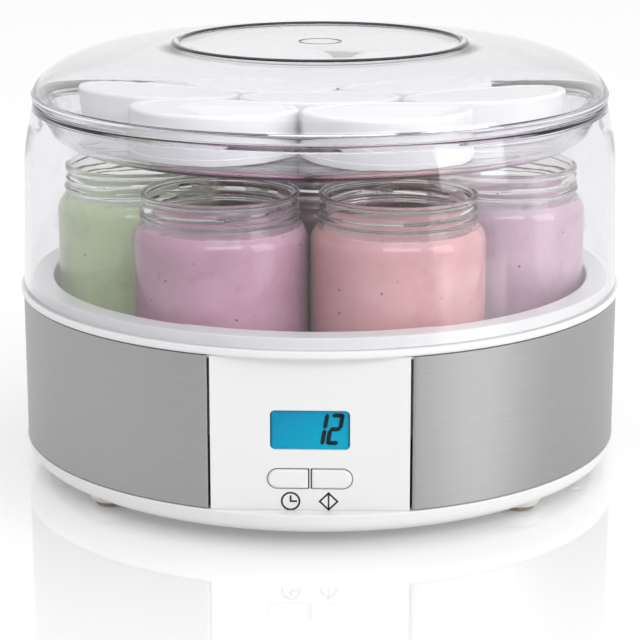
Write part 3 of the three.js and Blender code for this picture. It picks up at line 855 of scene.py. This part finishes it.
def clock_mark():
    """A printed clock face: a ring with two hands."""
    x, z, radius, line = -7.0, 17.0, 3.55, 0.72
    ring = plate([arc((x, z), radius, 0, 354, 59), arc((x, z), radius - line, 0, 354, 59)], *PRINT)
    upright = plate([bar((x, z - line / 2), (x, z + radius * 0.62), line)], *PRINT)
    level = plate([bar((x, z), (x + radius * 0.66, z), line)], *PRINT)
    return merged(ring, upright, level)


def start_mark():
    """A printed diamond with an upright line through it."""
    x, z, half_x, half_z, line = 6.7, 17.0, 3.7, 3.6, 0.62
    outer = [(x + half_x, z), (x, z + half_z), (x - half_x, z), (x, z - half_z)]
    inner = [(x + (px - x) * 0.74, z + (pz - z) * 0.74) for px, pz in outer]
    upright = plate([bar((x, z - half_z + 0.3), (x, z + half_z - 0.3), line)], *PRINT)
    return merged(plate([outer, inner], *PRINT), upright)


def bar(start, end, width):
    """A straight printed line as four points."""
    start, end = Vector(start), Vector(end)
    side = (end - start).orthogonal().normalized() * width / 2
    return [tuple(start + side), tuple(end + side), tuple(end - side), tuple(start - side)]


def lcd_module():
    low, high = box("lcd_module")
    return plate([rounded_rectangle(low.x, high.x, low.z, high.z, 0.5)], low.y, high.y, bevel=0.15)


add("fine_panel", control_panel(), LOOKS["white_plastic"], "base", "white_plastic", "control_panel")
window = plate([window_outline()], WINDOW_LOW.y, WINDOW_HIGH.y, bevel=0.15)
add("fine_window", window, LOOKS["display_window"], "base", "display_window", "display_window")
add("fine_display", lcd_module(), LOOKS["display"], "base", "display", "lcd_module")
add("display_digits", display_digits(), LOOKS["display_ink"], "base", "black_plastic")
add("clock_mark", clock_mark(), LOOKS["print_ink"], "base", "black_plastic")
add("start_mark", start_mark(), LOOKS["print_ink"], "base", "black_plastic")
for side_name, side_sign in (("left", -1), ("right", 1)):
    cap_name = f"button_{side_name}"
    cap_look = LOOKS["white_plastic"]
    add(f"fine_{cap_name}", button(side_sign), cap_look, cap_name, "white_plastic", cap_name)


# ---- Clear cover and dome -------------------------------------------------------------------------------

GRIP_Z, GRIP_HALF_WIDTH, GRIP_HALF_HEIGHT, GRIP_DEPTH = 139.5, 15.0, 7.0, 2.6
TAB_HALF, TAB_TOP, TAB_RISE = 44.0, 81.0, 0.45


def clear_cover():
    """Wall, rim and sunken tray as one clear moulding, with a finger grip pressed into each side."""
    floor, rim = 133.0, COVER_HIGH.z
    thick = 2.4
    profile = [
        (0, floor - thick),
        (97, floor - thick, 3),
        (103.6, 132.6, 3),
        (106.4, 138, 3),
        (107.8, rim - 2.7, 0.8),
        (110.6, rim - 2.7, 0.5),
        (111.8, 138.6, 2),
        (113.6, 128, 8),
        (COVER_R - thick, COVER_LOW.z, 0.5),
        (COVER_R, COVER_LOW.z, 0.7),
        (116.1, 128, 8),
        (114.2, 138.4, 5),
        (112.4, rim, 0.9),
        (106.3, rim, 0.8),
        (103.8, 138.6, 3),
        (101.6, 134.6, 3),
        (97, floor, 4),
        (0, floor),
    ]
    mesh = turned(profile, sides=CLEAR_SIDES, longest=2.5)

    def press_and_raise(point):
        """Finger grips pressed in at both sides, and a thicker stretch of the lower edge in front."""
        radius = math.hypot(point.x, point.y)
        if radius < 109:
            return (0, 0, 0)
        reach = math.hypot(point.y / GRIP_HALF_WIDTH, (point.z - GRIP_Z) / GRIP_HALF_HEIGHT)
        push = -GRIP_DEPTH * smooth_step(3.2 * (1 - reach))
        if point.y < 0 and radius > COVER_R - 1:
            push += TAB_RISE * clamp(TAB_HALF - abs(point.x)) * clamp(TAB_TOP - point.z)
        return (push * point.x / radius, push * point.y / radius, 0)

    return displaced(mesh, press_and_raise)


DOME_TOP = DOME_HIGH.z - 0.8
DOME_R = DOME_HIGH.x
DOME_THICK = 2.2
DOME_DROP = 19.1
GATE_R = 8.5  # shallow round groove at the middle of the dome


def dome_curve(edge, top, drop, reach, steps=40):
    """Points on the dome's nearly flat superellipse, from the middle outwards to a share of its turn."""
    points = []
    for k in range(steps + 1):
        share = math.sin(reach * k / steps * math.pi / 2)
        points.append((edge * share, top - drop * (1 - (1 - share ** 5.6) ** 0.64)))
    return points


def dome_lid():
    """The domed lid with its rolled rim and the half-round ridge on top."""
    inner = dome_curve(DOME_R - DOME_THICK, DOME_TOP - DOME_THICK, DOME_DROP - DOME_THICK - 0.5, 0.97)
    outer = dome_curve(DOME_R, DOME_TOP, DOME_DROP, 0.985)[::-1]
    ridge_r, ridge_half, ridge_h = 56.5, 1.8, DOME_HIGH.z - DOME_TOP
    ridge = [
        (ridge_r + ridge_half * math.cos(a), DOME_TOP - 0.12 + (ridge_h + 0.12) * math.sin(a))
        for a in (math.pi * k / 10 for k in range(11))
    ]
    outside = [p for p in outer if p[0] > ridge_r + ridge_half + 0.4]
    within = [p for p in outer if GATE_R + 1 < p[0] < ridge_r - ridge_half - 0.4]
    gate = [
        (GATE_R, DOME_TOP, 0.2),
        (GATE_R - 0.5, DOME_TOP - 0.35, 0.2),
        (GATE_R - 1.1, DOME_TOP, 0.2),
        (0, DOME_TOP),
    ]
    skirt = DOME_LOW.z
    rim = [
        (DOME_R - DOME_THICK - 0.6, skirt + 3.4, 0.8),
        (107.2, skirt + 2.2, 1),
        (106.8, skirt, 0.6),
        (112.0, skirt, 0.9),
        (DOME_R - 0.1, skirt + 1.2, 0.8),
        (DOME_R - 0.1, skirt + 3.2, 0.8),
    ]
    return turned([*inner, *rim, *outside, *ridge, *within, *gate], sides=CLEAR_SIDES)


CLEAR = LOOKS["clear_plastic"]
add("fine_cover", clear_cover(), CLEAR, "cover", "clear_plastic", "clear_cover", "tray_floor", sharp=60)
add("fine_dome", dome_lid(), CLEAR, "dome", "clear_plastic", "dome_lid", sharp=60)


# ---- Jars, yogurt and jar lids --------------------------------------------------------------------------

THREAD_HEIGHT = 0.85
THREAD_HALF_WIDTH = 0.75
THREAD_PITCH = 3.4
THREAD_LENGTH = 235  # degrees round the neck
THREAD_STARTS = 2
NECK_CORE_R = 28.8
NECK_BORE_R = 27.2
JAR_WALL = 2.4


def jar(place):
    """A jar with a pushed-up bottom, a round shoulder, a bead, a threaded neck and a rolled lip."""
    low, high = box(f"jar_{place}")
    centre = (low + high) / 2
    body, foot_z, top = (high.x - low.x) / 2, low.z, high.z
    inner = body - JAR_WALL
    neck_low = top - 10.6
    profile = [
        (0, foot_z + 1.4),
        (24, foot_z + 1.2, 3),
        (26.5, foot_z, 1.2),
        (body - 2, foot_z, 2),
        (body, foot_z + 3.5, 3.5),
        (body, neck_low - 4.3, 6),
        (NECK_CORE_R + 0.3, neck_low + 0.3, 2.4),
        (NECK_CORE_R + 0.1, neck_low + 1.4, 0.5),
        (NECK_CORE_R + 1.1, neck_low + 1.9, 0.5),
        (NECK_CORE_R + 1.1, neck_low + 2.7, 0.5),
        (NECK_CORE_R, neck_low + 3.3, 0.5),
        (NECK_CORE_R, top - 2.1, 0.4),
        (NECK_CORE_R + 0.8, top - 1.6, 0.5),
        (NECK_CORE_R + 0.8, top, 1.1),
        (NECK_BORE_R, top, 1),
        (NECK_BORE_R, neck_low + 0.6, 4),
        (inner, neck_low - 5.4, 5),
        (inner, foot_z + 4, 4),
        (0, foot_z + 4),
    ]
    mesh = turned(profile, MEDIUM, longest=1.1)
    turn = math.radians(thread_turn(place))

    def raise_thread(point):
        radius = math.hypot(point.x, point.y)
        if radius < NECK_CORE_R - 0.1 or not neck_low + 2.4 < point.z < top - 1.4:
            return (0, 0, 0)
        angle = math.degrees(math.atan2(point.y, point.x) - turn)
        starts = [angle + k * 360 / THREAD_STARTS for k in range(THREAD_STARTS)]
        push = max(thread_height(start, point.z, top) for start in starts)
        return (push * point.x / radius, push * point.y / radius, 0)

    displaced(mesh, raise_thread)
    return displaced(mesh, lambda point: (centre.x, centre.y, 0))


def thread_turn(place):
    """A different turn for each jar, from its place in the list."""
    return 40 + 77 * JAR_PLACES.index(place)


def thread_height(angle, z, top):
    """How far the thread stands out at this angle and height: a ridge that climbs and fades at its ends."""
    angle %= 360
    share = angle / THREAD_LENGTH
    if share > 1:
        return 0
    middle_z = top - 6.9 + THREAD_PITCH * share
    ends = smooth_step(min(share, 1 - share) / 0.1)
    across = clamp(1 - ((z - middle_z) / THREAD_HALF_WIDTH) ** 2)
    return THREAD_HEIGHT * ends * math.sqrt(across)


def yogurt(place):
    """The filling, pressed against the glass, with a gently uneven surface."""
    low, high = box(f"jar_{place}")
    centre = (low + high) / 2
    inside = (high.x - low.x) / 2 - JAR_WALL + 0.1
    foot_z, top, jar_top = low.z + 3.9, box(f"yogurt_{place}")[1].z, high.z
    profile = [
        (0, foot_z),
        (inside, foot_z, 4),
        (inside, jar_top - 16, 5),
        (inside - 1.7, top + 0.6, 0.5),
        (inside - 3.4, top - 0.2, 1),
        (0, top - 0.2),
    ]
    mesh = turned(profile, MEDIUM, longest=2.2)

    def stir(point):
        depth = clamp((point.z - (top - 1)) / 0.6) * clamp((inside - 3 - math.hypot(point.x, point.y)) / 4)
        place_in_noise = Vector((point.x / 9, point.y / 9, JAR_PLACES.index(place) * 5.0))
        return (0, 0, 0.5 * depth * noise.noise(place_in_noise))

    displaced(mesh, stir)
    return displaced(mesh, lambda point: (centre.x, centre.y, 0))


def jar_lid(place):
    """A plain cap, open below, with a soft top edge, a faint raised panel and a rolled lower edge."""
    low, high = box(f"jar_lid_{place}")
    centre = (low + high) / 2
    radius, wall = (high.x - low.x) / 2, 1.6
    profile = [
        (0, high.z - wall),
        (radius - wall, high.z - wall, 2),
        (radius - wall, low.z, 0.3),
        (radius, low.z, 0.6),
        (radius, low.z + 2.6, 0.2),
        (radius - 0.25, low.z + 2.9, 0.2),
        (radius - 0.35, high.z, 3.2),
        (radius - 4.2, high.z, 0.5),
        (radius - 4.8, high.z - 0.35, 0.5),
        (0, high.z - 0.35),
    ]
    return turned(profile, MEDIUM, centre=(centre.x, centre.y, 0))


for place in JAR_PLACES:
    jar_body, lid_body = f"jar_{place}", f"jar_lid_{place}"
    filling = SLOTS[f"yogurt_{place}"]
    add(f"fine_{jar_body}", jar(place), LOOKS["jar_glass"], jar_body, "jar_glass", jar_body, sharp=60)
    filling_node = f"yogurt_{place}"
    add(f"fine_{filling_node}", yogurt(place), LOOKS[filling], jar_body, filling, filling_node, sharp=60)
    add(f"fine_{lid_body}", jar_lid(place), LOOKS["white_lids"], lid_body, "white_plastic", lid_body)


# ---- Studio ---------------------------------------------------------------------------------------------

CAMERA_AZIMUTH = 1.84
CAMERA_PITCH = 14.51
CAMERA_DISTANCE = 0.8943
CAMERA_HEIGHT = 0.2869
CAMERA_LENS = 128.7


def studio_floor():
    look = Look("studio_floor", Base_Color=(0.84, 0.84, 0.84, 1), IOR=2.0, Emission_Strength=0.09)
    look.shader.inputs["Emission Color"].default_value = (1, 1, 1, 1)
    look.feed("Roughness", look.spread(look.noise(6, 3), 0.035, 0.06))
    build = bmesh.new()
    bmesh.ops.create_grid(build, x_segments=1, y_segments=1, size=6000)
    bmesh.ops.translate(build, verts=build.verts, vec=(0, 0, -0.2))
    mesh = to_mesh(build)
    mesh.materials.append(look.material)
    floor = bpy.data.objects.new("studio_floor", mesh)
    bpy.context.scene.collection.objects.link(floor)


def softbox(name, place, target, width, height, power):
    """A rectangular lamp, in metres and watts, that faces its target."""
    data = bpy.data.lights.new(name, "AREA")
    data.shape = "RECTANGLE"
    data.size, data.size_y = width, height
    data.energy = power
    lamp = bpy.data.objects.new(name, data)
    lamp.location = place
    lamp.rotation_euler = (Vector(target) - Vector(place)).to_track_quat("-Z", "Y").to_euler()
    bpy.context.scene.collection.objects.link(lamp)


def studio_sky():
    """White behind and above the object, greyer in front and to the left so that clear edges read."""
    world = bpy.data.worlds.new("studio")
    bpy.context.scene.world = world
    world.use_nodes = True
    tree = world.node_tree
    sky = tree.nodes["Background"]
    sky.inputs["Strength"].default_value = 0.95
    place = tree.nodes.new("ShaderNodeTexCoord")
    along = tree.nodes.new("ShaderNodeVectorMath")
    along.operation = "DOT_PRODUCT"
    along.inputs[1].default_value = (0.24, 0.97, 0)
    ramp = tree.nodes.new("ShaderNodeValToRGB")
    scale = tree.nodes.new("ShaderNodeMapRange")
    scale.inputs["From Min"].default_value = -1.0
    ramp.color_ramp.elements[0].position = 0.03
    ramp.color_ramp.elements[0].color = (0.5, 0.48, 0.54, 1)
    ramp.color_ramp.elements[1].position = 0.3
    ramp.color_ramp.elements[1].color = (1, 1, 1, 1)
    tree.links.new(place.outputs["Generated"], along.inputs[0])
    tree.links.new(along.outputs["Value"], scale.inputs["Value"])
    tree.links.new(scale.outputs["Result"], ramp.inputs["Fac"])
    tree.links.new(ramp.outputs["Color"], sky.inputs["Color"])


def studio_camera():
    data = bpy.data.cameras.new("camera")
    data.lens = CAMERA_LENS
    data.sensor_width = 36
    turn = math.radians(CAMERA_AZIMUTH)
    camera = bpy.data.objects.new("camera", data)
    camera.location = (CAMERA_DISTANCE * math.sin(turn), -CAMERA_DISTANCE * math.cos(turn), CAMERA_HEIGHT)
    camera.rotation_euler = (math.radians(90 - CAMERA_PITCH), 0, turn)
    bpy.context.scene.collection.objects.link(camera)
    bpy.context.scene.camera = camera


studio_floor()
studio_sky()
studio_camera()
CENTRE = (0, 0, 0.08)
softbox("right_softbox", (1.3, -0.75, 0.6), CENTRE, 0.8, 0.9, 7)
softbox("front_softbox", (0.15, -1.25, 0.85), CENTRE, 1.2, 0.4, 5)
softbox("top_softbox", (0, 0.1, 1.5), CENTRE, 1.3, 1.0, 3)
bpy.context.scene.view_settings.view_transform = "Standard"
bpy.context.scene.cycles.max_bounces = 28
bpy.context.scene.cycles.transmission_bounces = 28
bpy.context.scene.cycles.glossy_bounces = 8
bpy.context.scene.cycles.diffuse_bounces = 6
bpy.context.scene.cycles.transparent_max_bounces = 40
